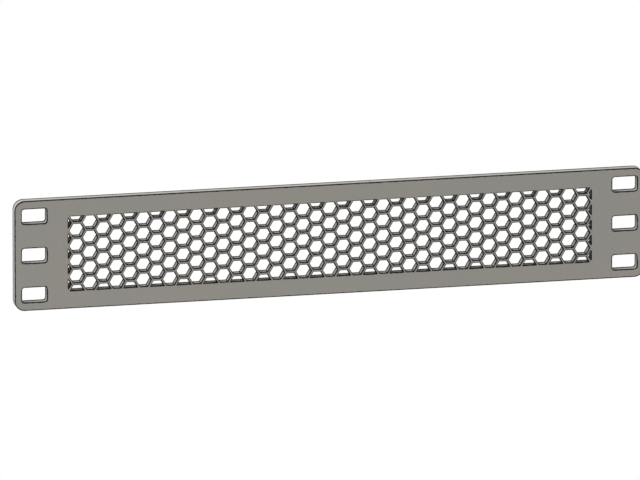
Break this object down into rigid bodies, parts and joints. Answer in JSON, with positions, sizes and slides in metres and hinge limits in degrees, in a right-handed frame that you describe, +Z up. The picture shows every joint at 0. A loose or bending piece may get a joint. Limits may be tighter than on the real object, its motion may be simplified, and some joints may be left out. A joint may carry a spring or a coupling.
{
  "type": "rack blanking panel",
  "caption": "Flat ventilated rack blanking panel: a honeycomb field trimmed to a rectangle, with rectangular screw slots in an ear at each end.",
  "frame": {"origin": "centre of the rear face, the face that is pulled against the rails of the rack", "axes": "+X along the panel's width, +Y out of the rear face into the rack, +Z up; the front looks along -Y"},
  "size_m": [0.254, 0.004, 0.0444],
  "materials": {
    "powder_coat": "satin, fine texture"
  },
  "bodies": {
    "root": {"panel": "powder_coat"}
  },
  "joints": []
}
